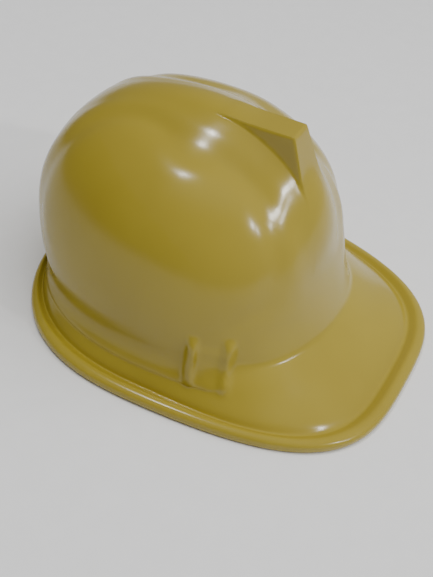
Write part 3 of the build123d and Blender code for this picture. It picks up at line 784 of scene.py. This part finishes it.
def fabric(name, dark, light, pitch_mm):
    """Woven cloth: two crossed waves in object space with fibre noise over them."""
    material, tree, shader = new_material(name)
    place = tree.nodes.new("ShaderNodeTexCoord")
    scale = 50.0 * math.pi / pitch_mm
    bands = (("X", scale), ("Z", scale))
    waves, height = woven(tree, place.outputs["Object"], bands, 0.6, "MULTIPLY", 900.0)
    for wave in waves:
        wave.inputs["Detail Scale"].default_value = 2.0
    ramp(tree, height, [(0.15, (*dark, 1)), (0.95, (*light, 1))], shader.inputs["Base Color"])
    shader.inputs["Roughness"].default_value = 0.85
    shader.inputs["Sheen Weight"].default_value = 0.25
    bump(tree, shader, height, 0.6, 0.0004)
    return material


def webbing():
    """Flat woven tape: ribs across the strap from its own coordinates, in millimetres."""
    material, tree, shader = new_material("webbing")
    place = tree.nodes.new("ShaderNodeUVMap")
    place.uv_map = "weave"
    bands = (("X", math.pi / 11.0), ("DIAGONAL", math.pi / 15.0))
    height = woven(tree, place.outputs["UV"], bands, 0.4, "ADD", 1200.0)[1]
    tones = [(0.3, (0.025, 0.027, 0.03, 1)), (1.0, (0.075, 0.078, 0.085, 1))]
    ramp(tree, height, tones, shader.inputs["Base Color"])
    shader.inputs["Roughness"].default_value = 0.7
    shader.inputs["Sheen Weight"].default_value = 0.2
    bump(tree, shader, height, 0.6, 0.0004)
    return material


# ---- cradle ----------------------------------------------------------------------------

FRONT_KEY_ANGLE = 40.0
REAR_KEY_ANGLE = 132.0
KEY_ANGLES = {
    "front_left": FRONT_KEY_ANGLE,
    "front_right": -FRONT_KEY_ANGLE,
    "rear_left": REAR_KEY_ANGLE,
    "rear_right": -REAR_KEY_ANGLE,
}
KEY_BOTTOM_Z = 31.0
SOCKET_BOTTOM_Z = 35.0
SOCKET_TOP_Z = 47.0
LUG_HEIGHT = 10.0
LUG_HALF_WIDTH = 9.8
SOCKET_HALF_WIDTH = 13.0
SOCKET_INNER = -7.85
SOCKET_FACE = -5.9
PLATE_INNER = -10.15
SLOT_DEPTH = 6.2
SLEEVE_BOTTOM_Z = 13.0
WEBBING_WIDTH = 19.0
WEBBING_THICKNESS = 1.3
CROWN_STRAP_Z = 112.0
STRAP_END_GAP = 2.4
STRAP_FOOT_Z = 45.5
CROWN_PAD_RADIUS = 24.0
CROWN_PAD_THICKNESS = 4.0
CROWN_PAD_SWELL = 1.7
CROWN_PAD_SEAM = 0.62
CROWN_PAD_TOP_Z = CROWN_STRAP_Z - WEBBING_THICKNESS - 3.6
BAND_HALF_WIDTH = 80.6
BAND_HALF_LENGTH = 92.0
BAND_THICKNESS = 1.6
BAND_BOTTOM_Z = 12.0
BAND_TOP_Z = 44.0
BAND_END_Y = 48.0
SWEATBAND_END_Y = -30.0
NAPE_Z = 22.0
NAPE_SEAMS = (0.33, 0.67)
ARM_HEIGHT = 16.0
ARM_THICKNESS = 1.5
ARM_PIVOT_X = 80.2
ARM_PIVOT_Y = 24.0
ARM_BEND_X = 46.0
RACK_ROOT_X = 34.0
RACK_Y = {"left": 86.6, "right": 88.4}


def key_frame(place):
    low = wall_frame(KEY_ANGLES[place], KEY_BOTTOM_Z)
    high = wall_frame(KEY_ANGLES[place], SOCKET_TOP_Z)
    return min(low, high, key=lambda item: np.linalg.norm(item[0]))


def pocket(name, angle, at, inner, outer, back, face, heights, material):
    """Sleeve inside the wall: two cheeks, a roof, and a plate across them from back to face."""
    bottom, ledge, top = heights
    boxes = [
        framed_box(at, angle, -outer, -inner, back, bottom, top),
        framed_box(at, angle, inner, outer, back, bottom, top),
        framed_box(at, angle, -inner, inner, back, ledge, top),
    ]
    origin, along, outward = at
    plate = []
    for z in (bottom, ledge):
        for x, r in ((-inner, back), (inner, back), (inner, face), (-inner, face)):
            plate.append(origin + along * x + outward * r + np.array([0, 0, z]))
    boxes.append(plate)
    declare(boxes_object(name, boxes, material), "hat")


def build_sockets(material):
    """Inside the shell: four key sockets and the two accessory-slot sleeves."""
    heights = (SOCKET_BOTTOM_Z, SOCKET_BOTTOM_Z + LUG_HEIGHT + 0.6, SOCKET_TOP_Z)
    inner = LUG_HALF_WIDTH + 0.3
    for place, angle in KEY_ANGLES.items():
        pocket("socket_" + place, angle, key_frame(place), inner, SOCKET_HALF_WIDTH,
               SOCKET_INNER, SOCKET_FACE, heights, material)
    heights = (SLEEVE_BOTTOM_Z, SLOT_TOP_Z, SLOT_TOP_Z + SLOT_WALL)
    inner = SLOT_WIDTH / 2
    for name, angle in (("left", SLOT_ANGLE), ("right", -SLOT_ANGLE)):
        pocket("slot_sleeve_" + name, angle, wall_frame(angle, SLOT_TOP_Z), inner, inner + SLOT_WALL,
               -SLOT_DEPTH - SLOT_WALL, -SLOT_DEPTH, heights, material)


def ellipse_line(half_width, half_length, y_end, z, count):
    """Points and outward directions along a horizontal ellipse from one y end round the front."""
    top = math.asin(max(-1.0, min(1.0, y_end / half_length)))
    t = np.linspace(math.pi - top, 2 * math.pi + top, count)
    points = np.stack([half_width * np.cos(t), half_length * np.sin(t), np.full(count, z)], -1)
    outward = unit(np.stack([half_length * np.cos(t), half_width * np.sin(t), 0 * t], -1))
    return points, outward


def build_headband(material):
    """Flat band with a thicker rounded edge along its top and bottom."""
    middle, outward = ellipse_line(
        BAND_HALF_WIDTH - BAND_THICKNESS / 2,
        BAND_HALF_LENGTH - BAND_THICKNESS / 2,
        BAND_END_Y,
        0.0,
        181,
    )
    low = BAND_BOTTOM_Z
    high = BAND_TOP_Z
    profile = []
    for z, half in (
        (low, 0.35), (low + 0.4, 0.7), (low + 1.2, 0.8), (low + 2.2, 0.75), (low + 2.8, 0.55),
        (low + 5, 0.55), ((low + high) / 2, 0.55), (high - 5, 0.55),
        (high - 2.8, 0.55), (high - 2.2, 0.75), (high - 1.2, 0.8), (high - 0.4, 0.7), (high, 0.35),
    ):
        profile.append((half, z))
    profile += [(-half, z) for half, z in reversed(profile)]
    points, faces = sweep(outline_along(middle, outward, UPWARDS, np.array(profile)))
    band = make_object("headband_strip", points, faces, material)
    fix_normals(band)
    declare(band, "hat", "headband")


def add_weave(thing, coordinates):
    layer = thing.data.uv_layers.new(name="weave")
    loops = np.zeros(len(thing.data.loops), dtype=np.int32)
    thing.data.loops.foreach_get("vertex_index", loops)
    layer.data.foreach_set("uv", np.asarray(coordinates)[loops].reshape(-1))


def strap_end(place):
    origin, _, outward = key_frame(place)
    return origin + outward * PLATE_INNER


def strap_point(front, rear, rise, t, inwards=0.0):
    """Point, facing and across of a crown strap; t runs from 0 at the front key to 1 at the rear."""
    span = front - rear
    width = np.linalg.norm(span)
    reach = width / 2 - STRAP_END_GAP - WEBBING_THICKNESS / 2
    height = CROWN_STRAP_Z + rise - STRAP_FOOT_Z - WEBBING_THICKNESS / 2
    a = math.pi * t
    towards = span / width
    middle = (front + rear) / 2
    p = middle + towards * reach * math.cos(a) + np.array([0, 0, STRAP_FOOT_Z + height * math.sin(a)])
    facing = towards * height * math.cos(a) + np.array([0, 0, reach * math.sin(a)])
    facing = facing / np.linalg.norm(facing)
    across = np.cross(towards, [0, 0, 1.0])
    return p - facing * inwards, facing, across


def woven_tape(name, samples, width, travelled, material, node=None):
    """Strap through (point, facing, across) samples, with its weave laid along travelled lengths."""
    middle, facing, across = (np.array(part) for part in zip(*samples))
    sections = strap_sections(middle, across, facing, width / 2, WEBBING_THICKNESS / 2)
    points, faces = sweep(sections)
    strap = make_object(name, points, faces, material)
    u = np.sum((sections - middle[:, None, :]) * across[:, None, :], -1)
    v = np.repeat(travelled[:, None], sections.shape[1], axis=1)
    add_weave(strap, np.stack([u, v], -1).reshape(-1, 2))
    fix_normals(strap)
    declare(strap, "hat", node)


def build_strap(name, place, opposite, rise, material, thread):
    """Crown strap between two keys, with a folded and cross-stitched end at each."""
    front = strap_end(place)
    rear = strap_end(opposite)
    count = 121
    samples = [strap_point(front, rear, rise, k / (count - 1)) for k in range(count)]
    middle = np.array([item[0] for item in samples])
    travelled = np.concatenate([[0], np.cumsum(np.linalg.norm(np.diff(middle, axis=0), axis=1))])
    woven_tape(name + "_tape", samples, WEBBING_WIDTH, travelled, material, name)
    stitches = []
    half = WEBBING_WIDTH / 2 - 2.4
    first = 0.012
    pitch = 0.0105
    rows = 5
    for end in (0, 1):
        fold = samples[:9] if end == 0 else samples[-9:][::-1]
        fold = [(p + f * 1.35, f, c) for p, f, c in fold]
        lengths = np.linspace(0, 14.0, len(fold))
        woven_tape("%s_fold_%d" % (name, end), fold, WEBBING_WIDTH - 0.8, lengths, material)

        def place_at(s, w):
            t = s if end == 0 else 1 - s
            p, f, c = strap_point(front, rear, rise, t, WEBBING_THICKNESS / 2)
            return p + c * w, -f

        def stitch(s0, w0, s1, w1):
            a, n = place_at(s0, w0)
            b, _ = place_at(s1, w1)
            stitches.append((a, b, n))

        for k in range(rows):
            for w in (-half, half):
                stitch(first + pitch * k + 0.0012, w, first + pitch * (k + 1) - 0.0012, w)
        last = first + pitch * rows
        shares = [((k + 0.12) / 6, (k + 0.88) / 6) for k in range(6)]
        for s in (first, last):
            for t0, t1 in shares:
                stitch(s, -half + 2 * half * t0, s, -half + 2 * half * t1)
        for t0, t1 in shares:
            for sign in (-1, 1):
                s0 = first + (last - first) * t0
                s1 = first + (last - first) * t1
                stitch(s0, sign * (-half + 2 * half * t0), s1, sign * (-half + 2 * half * t1))
    thread_dashes(name + "_thread", stitches, "hat", thread)


def pad_grid(name, surface, thickness_at, pinch, columns, rows, material):
    """Sewn pad: two grids joined at their rim, and the points that a swelling pad holds still.

    surface(u, v) gives point and facing, u and v 0 to 1; pinch(u, v) is near 1 on a seam.
    """
    front = []
    back = []
    held = set()
    for i in range(columns + 1):
        for j in range(rows + 1):
            u = i / columns
            v = j / rows
            p, facing = surface(u, v)
            swell, rest = thickness_at(u, v)
            if pinch(u, v) > 0.6:
                held.add(len(front))
            front.append(p + facing * swell)
            back.append(p - facing * rest)
    total = len(front)
    quads = grid_quads(columns + 1, rows + 1)
    index = np.arange(total).reshape(columns + 1, rows + 1)
    rim = np.concatenate([index[:-1, 0], index[-1, :-1], index[:0:-1, -1], index[0, :0:-1]])
    faces = quads.tolist() + (quads[:, ::-1] + total).tolist()
    nxt = np.roll(rim, -1)
    faces += np.stack([rim, rim + total, nxt + total, nxt], -1).tolist()
    pad = make_object(name, np.array(front + back), faces, material)
    fix_normals(pad)
    held |= set(rim.tolist()) | set(range(total, 2 * total))
    return pad, sorted(held)


def raised_stitch(surface, first, second, swell):
    """A stitch between two (u, v) places, lifted onto the swollen face."""
    a, n = surface(*first)
    b, _ = surface(*second)
    return a + n * swell, b + n * swell, n


def build_sweatband(material, thread):
    """Padded brow band: channels sewn near both edges and cross seams, swollen between them."""
    outer_width = BAND_HALF_WIDTH - BAND_THICKNESS - 0.3
    outer_length = BAND_HALF_LENGTH - BAND_THICKNESS - 0.3
    top = math.asin(SWEATBAND_END_Y / outer_length)
    z0 = BAND_BOTTOM_Z - 1.3
    z1 = BAND_TOP_Z - 3.2
    seams = (0.2, 0.4, 0.6, 0.8)
    channel = 0.14

    def surface(u, v):
        t = (math.pi - top) + u * (math.pi + 2 * top)
        p = np.array([outer_width * math.cos(t), outer_length * math.sin(t), z0 + (z1 - z0) * v])
        outward = np.array([outer_length * math.cos(t), outer_width * math.sin(t), 0.0])
        return p, -outward / np.linalg.norm(outward)

    def pinch(u, v):
        edge = min(v, 1 - v)
        near_channel = math.exp(-((edge - channel) / 0.035) ** 2)
        near_seam = max(math.exp(-((u - s) / 0.006) ** 2) for s in seams)
        return max(near_channel, near_seam)

    def thickness_at(u, v):
        edge = min(v, 1 - v)
        end = min(u, 1 - u)
        body = smooth(edge / 0.10) * smooth(end / 0.015)
        crown = 0.75 + 0.25 * math.sin(math.pi * v)
        return 0.6 + 2.1 * body * crown * (1 - 0.55 * pinch(u, v)), -0.15

    pad, held = pad_grid("sweatband_pad", surface, thickness_at, pinch, 168, 20, material)
    inflate(pad, 30.0, 0.8, held)
    declare(pad, "hat", "sweatband")
    stitches = []
    steps = 96
    for v in (channel, 1 - channel):
        for k in range(steps):
            ends = ((k + 0.15) / steps, v), ((k + 0.85) / steps, v)
            swell = thickness_at((k + 0.5) / steps, v)[0] + 0.1
            stitches.append(raised_stitch(surface, *ends, swell))
    thread_dashes("sweatband_thread", stitches, "hat", thread)


def build_crown_pad(material, thread):
    """Round pad under the crossing straps: two faces joined at the edge, with a sewn ring."""
    front = strap_end("front_left")
    rear = strap_end("rear_right")
    share = front[0] / (front[0] - rear[0])
    middle = front + (rear - front) * share
    centre = np.array([0.0, middle[1], CROWN_PAD_TOP_Z - CROWN_PAD_THICKNESS / 2])
    rings = 16
    spokes = 72

    def at(radius, angle, z):
        reach = CROWN_PAD_RADIUS * radius
        return centre + np.array([reach * math.cos(angle), reach * math.sin(angle), z])

    points = []
    faces = []
    for side in (1, -1):
        base = len(points)
        points.append(centre + np.array([0, 0, side * CROWN_PAD_SWELL]))
        for i in range(1, rings + 1):
            r = i / rings
            sewn = math.exp(-((r - CROWN_PAD_SEAM) / 0.05) ** 2)
            lift = CROWN_PAD_SWELL * math.sqrt(max(0.0, 1 - r ** 4)) * (1 - 0.6 * sewn)
            points += [at(r, 2 * math.pi * k / spokes, side * lift) for k in range(spokes)]
        for k in range(spokes):
            k2 = (k + 1) % spokes
            cells = [(base, base + 1 + k, base + 1 + k2)]
            for i in range(rings - 1):
                a = base + 1 + i * spokes
                cells.append((a + k, a + spokes + k, a + spokes + k2, a + k2))
            faces += [cell if side > 0 else cell[::-1] for cell in cells]
    pad = make_object("crown_pad_cushion", points, faces, material)
    fix_normals(pad, merge=0.01)
    held = []
    for vertex in pad.data.vertices:
        offset = np.array(vertex.co[:]) / MM - centre
        r = math.hypot(offset[0], offset[1]) / CROWN_PAD_RADIUS
        if r > 0.99 or abs(r - CROWN_PAD_SEAM) < 0.035:
            held.append(vertex.index)
    inflate(pad, 25.0, 0.5, held)
    declare(pad, "hat", "crown_pad")
    stitches = []
    count = 44
    for side in (1, -1):
        for k in range(count):
            ends = [at(CROWN_PAD_SEAM, 2 * math.pi * (k + t) / count, side * 0.72) for t in (0.15, 0.85)]
            stitches.append((*ends, np.array([0, 0, side])))
    thread_dashes("crown_pad_thread", stitches, "hat", thread)


def build_arms(material):
    """Nape straps, flexible on the real hat, drawn as ribbed strips swept along a fixed bent path between
    the pivot and the rack.
    """
    for name, sign in (("left", 1), ("right", -1)):
        plane_y = RACK_Y[name]
        half_x = ARM_PIVOT_X - ARM_BEND_X + ARM_THICKNESS / 2
        half_y = plane_y - ARM_PIVOT_Y + ARM_THICKNESS / 2
        middle = []
        facing = []
        for y in (-9.0, -6.0, -3.0):
            middle.append((ARM_PIVOT_X + ARM_THICKNESS / 2, ARM_PIVOT_Y + y))
            facing.append((1.0, 0.0))
        for k in range(49):
            a = 0.5 * math.pi * k / 48
            middle.append((ARM_BEND_X + half_x * math.cos(a), ARM_PIVOT_Y + half_y * math.sin(a)))
            facing.append((half_y * math.cos(a), half_x * math.sin(a)))
        for x in (42.0, 38.0, RACK_ROOT_X + 0.2):
            middle.append((x, plane_y + ARM_THICKNESS / 2))
            facing.append((0.0, 1.0))
        middle = np.array([(sign * x, y, NAPE_Z) for x, y in middle])
        facing = unit(np.array([(sign * x, y, 0.0) for x, y in facing]))
        half = ARM_HEIGHT / 2
        profile = np.array([
            (half - 0.3, 0.45), (half - 0.9, 0.72), (half - 1.8, 0.7), (half - 2.3, 0.45), (4.0, 0.45),
            (3.6, 0.7), (2.9, 0.7), (2.5, 0.45), (-2.5, 0.45), (-2.9, 0.7), (-3.6, 0.7), (-4.0, 0.45),
            (-half + 2.3, 0.45), (-half + 1.8, 0.7), (-half + 0.9, 0.72), (-half + 0.3, 0.45),
        ])
        outline = np.concatenate([profile, (profile * [1, -1])[::-1]])
        points, faces = sweep(outline_along(middle, UPWARDS, facing, outline))
        arm = make_object("nape_strap_" + name, points, faces, material)
        fix_normals(arm)
        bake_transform(arm)
        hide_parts("nape_arm_" + name)


def build_nape_pad(material, thread):
    """Small padded panel on the inner face of the ratchet housing."""
    low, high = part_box("nape_pad")
    low = np.array(low) / MM
    high = np.array(high) / MM
    centre = (low + high) / 2
    half_x = (high[0] - low[0]) / 2 - 0.2
    half_z = (high[2] - low[2]) / 2 - 0.2
    depth = high[1] - low[1]

    def surface(u, v):
        a = 2 * u - 1
        b = 2 * v - 1
        x = centre[0] + half_x * a * math.sqrt(1 - 0.16 * b * b)
        z = centre[2] + half_z * b * math.sqrt(1 - 0.16 * a * a)
        return np.array([x, high[1] - 0.1, z]), np.array([0, -1.0, 0])

    def sewn(u, v):
        return max(math.exp(-((u - s) / 0.018) ** 2) for s in NAPE_SEAMS)

    def thickness_at(u, v):
        edge = min(u * 2.2, (1 - u) * 2.2, v, 1 - v)
        return 0.5 + (depth - 1.1) * smooth(edge / 0.16) * (1 - 0.5 * sewn(u, v)), 0.0

    pad, held = pad_grid("nape_cushion", surface, thickness_at, sewn, 48, 20, material)
    inflate(pad, 25.0, 0.5, held)
    declare(pad, "ratchet", "nape_pad")
    stitches = []
    count = 8
    for u in NAPE_SEAMS:
        swell = thickness_at(u, 0.5)[0] + 0.1
        for k in range(count):
            ends = (u, 0.1 + 0.8 * (k + 0.15) / count), (u, 0.1 + 0.8 * (k + 0.85) / count)
            stitches.append(raised_stitch(surface, *ends, swell))
    thread_dashes("nape_pad_thread", stitches, "ratchet", thread)


# ---- stage, light and camera -----------------------------------------------------------

CAMERA_AZIMUTH = -70.68
CAMERA_ELEVATION = 42.59
CAMERA_ROLL = 11.79
CAMERA_OFFSET = Vector((-0.00525, 0.04598, 0.74571))
CAMERA_TARGET = Vector((0.0, 0.0, 0.0638))
CAMERA_LENS = 67.68
LIGHT_TARGET = Vector((0.0, 0.0, 0.1))
FLOOR_HALF = 6.0


def make_camera():
    azimuth = math.radians(CAMERA_AZIMUTH)
    elevation = math.radians(CAMERA_ELEVATION)
    roll = math.radians(CAMERA_ROLL)
    back = Vector((
        math.sin(azimuth) * math.cos(elevation),
        -math.cos(azimuth) * math.cos(elevation),
        math.sin(elevation),
    ))
    right = (-back).cross(Vector((0, 0, 1))).normalized()
    up = right.cross(-back)
    x_axis = right * math.cos(roll) + up * math.sin(roll)
    y_axis = up * math.cos(roll) - right * math.sin(roll)
    away = x_axis * CAMERA_OFFSET.x + y_axis * CAMERA_OFFSET.y - back * CAMERA_OFFSET.z
    data = bpy.data.cameras.new("camera")
    data.lens = CAMERA_LENS
    data.sensor_width = 36.0
    data.clip_start = 0.01
    camera = add_object("camera", data)
    place = CAMERA_TARGET - away
    rotation = Matrix((x_axis, y_axis, back)).transposed().to_4x4()
    camera.matrix_world = Matrix.Translation(place) @ rotation
    bpy.context.scene.camera = camera


def area_light(name, place, size, power):
    """Rectangular lamp aimed at the hat."""
    data = bpy.data.lights.new(name, "AREA")
    data.shape = "RECTANGLE"
    data.size, data.size_y = size
    data.energy = power
    light = add_object(name, data)
    turn = (LIGHT_TARGET - Vector(place)).to_track_quat("-Z", "Y")
    light.matrix_world = Matrix.Translation(place) @ turn.to_matrix().to_4x4()
    return light


def make_stage():
    mesh = bpy.data.meshes.new("floor")
    half = FLOOR_HALF
    corners = [(-half, -half, 0), (half, -half, 0), (half, half, 0), (-half, half, 0)]
    mesh.from_pydata(corners, [], [(0, 1, 2, 3)])
    floor = add_object("floor", mesh)
    material, tree, shader = new_material("floor_paper")
    grain = noise(tree, 60.0, 3.0)
    ramp(tree, grain, [(0.3, grey(0.86)), (0.7, grey(0.88))], shader.inputs["Base Color"])
    shader.inputs["Roughness"].default_value = 0.9
    mesh.materials.append(material)
    world = bpy.data.worlds.new("studio")
    world.use_nodes = True
    tree = world.node_tree
    place = tree.nodes.new("ShaderNodeTexCoord")
    bright_side = tree.nodes.new("ShaderNodeVectorMath")
    bright_side.operation = "DOT_PRODUCT"
    bright_side.inputs[1].default_value = (0.55, -0.75, 0.35)
    tree.links.new(place.outputs["Generated"], bright_side.inputs[0])
    span = tree.nodes.new("ShaderNodeMapRange")
    span.inputs["From Min"].default_value = -1.0
    span.inputs["From Max"].default_value = 1.0
    tree.links.new(bright_side.outputs["Value"], span.inputs["Value"])
    background = tree.nodes["Background"]
    stops = [(0.15, grey(0.11)), (0.55, grey(0.23)), (0.9, grey(0.52))]
    ramp(tree, span.outputs["Result"], stops, background.inputs["Color"])
    background.inputs["Strength"].default_value = 1.0
    bpy.context.scene.world = world
    area_light("ceiling_lamp", (-0.20, 0.28, 1.70), (0.11, 0.05), 5.0)
    area_light("window_pane_1", (-0.09, -1.25, 1.16), (0.07, 0.12), 4.0)
    area_light("window_pane_2", (0.05, -1.38, 1.0), (0.04, 0.10), 2.0)
    for name, spot, size, power in (
        ("soft_front", (0.9, -1.3, 1.6), 1.4, 11.0),
        ("soft_top", (-0.2, -0.1, 2.2), 1.8, 27.0),
    ):
        soft = area_light(name, spot, (size, size), power)
        soft.visible_glossy = False


make_camera()
make_stage()

yellow = shell_plastic()
band = plastic("band_plastic", (0.30, 0.31, 0.31), (0.36, 0.37, 0.37))
key = plastic("key_plastic", (0.045, 0.047, 0.05), (0.065, 0.067, 0.07))
knob = plastic("knob_plastic", (0.03, 0.031, 0.034), (0.05, 0.052, 0.056), (0.35, 0.5), 500.0, 0.2)
acetal = plastic("acetal", (0.62, 0.61, 0.57), (0.7, 0.69, 0.65), (0.25, 0.35))
metal = steel()
tape = webbing()
towel = fabric("sweat_cloth", (0.02, 0.021, 0.024), (0.06, 0.062, 0.068), 1.3)
cover_cloth = fabric("pad_foam", (0.03, 0.03, 0.033), (0.085, 0.086, 0.09), 1.1)
thread = plastic("thread", (0.33, 0.33, 0.32), (0.45, 0.45, 0.44), (0.6, 0.8), 1500.0, 0.4)

build_shell(yellow)
build_sockets(yellow)
build_headband(band)
build_sweatband(towel, thread)
build_strap("crown_strap_lower", "front_left", "rear_right", 0.0, tape, thread)
build_strap("crown_strap_upper", "front_right", "rear_left", 2.5, tape, thread)
build_crown_pad(cover_cloth, thread)
build_arms(band)
build_nape_pad(cover_cloth, thread)
for place in KEY_ANGLES:
    refined("key_" + place, "key_" + place + "_clip", "hat", key, 0.5)
for side in ("left", "right"):
    node = "pivot_rivet_" + side
    refined(node, node + "_turned", "hat", key, 0.3)
for node, body, bevel in (
    ("ratchet_housing", "ratchet", 0.4),
    ("ratchet_cover", "ratchet", 0.4),
    ("ratchet_knob", "knob", 0.35),
):
    refined(node, node + "_moulded", body, knob, bevel)
KEPT_NODES = {
    "headband_studs": key,
    "nape_rack_left": band,
    "nape_rack_right": band,
    "housing_screws": metal,
    "ratchet_pinion": acetal,
    "knob_screw": metal,
    "detent_spring": acetal,
}
for node, material in KEPT_NODES.items():
    data = frame["nodes"][node].data
    data.materials.clear()
    data.materials.append(material)
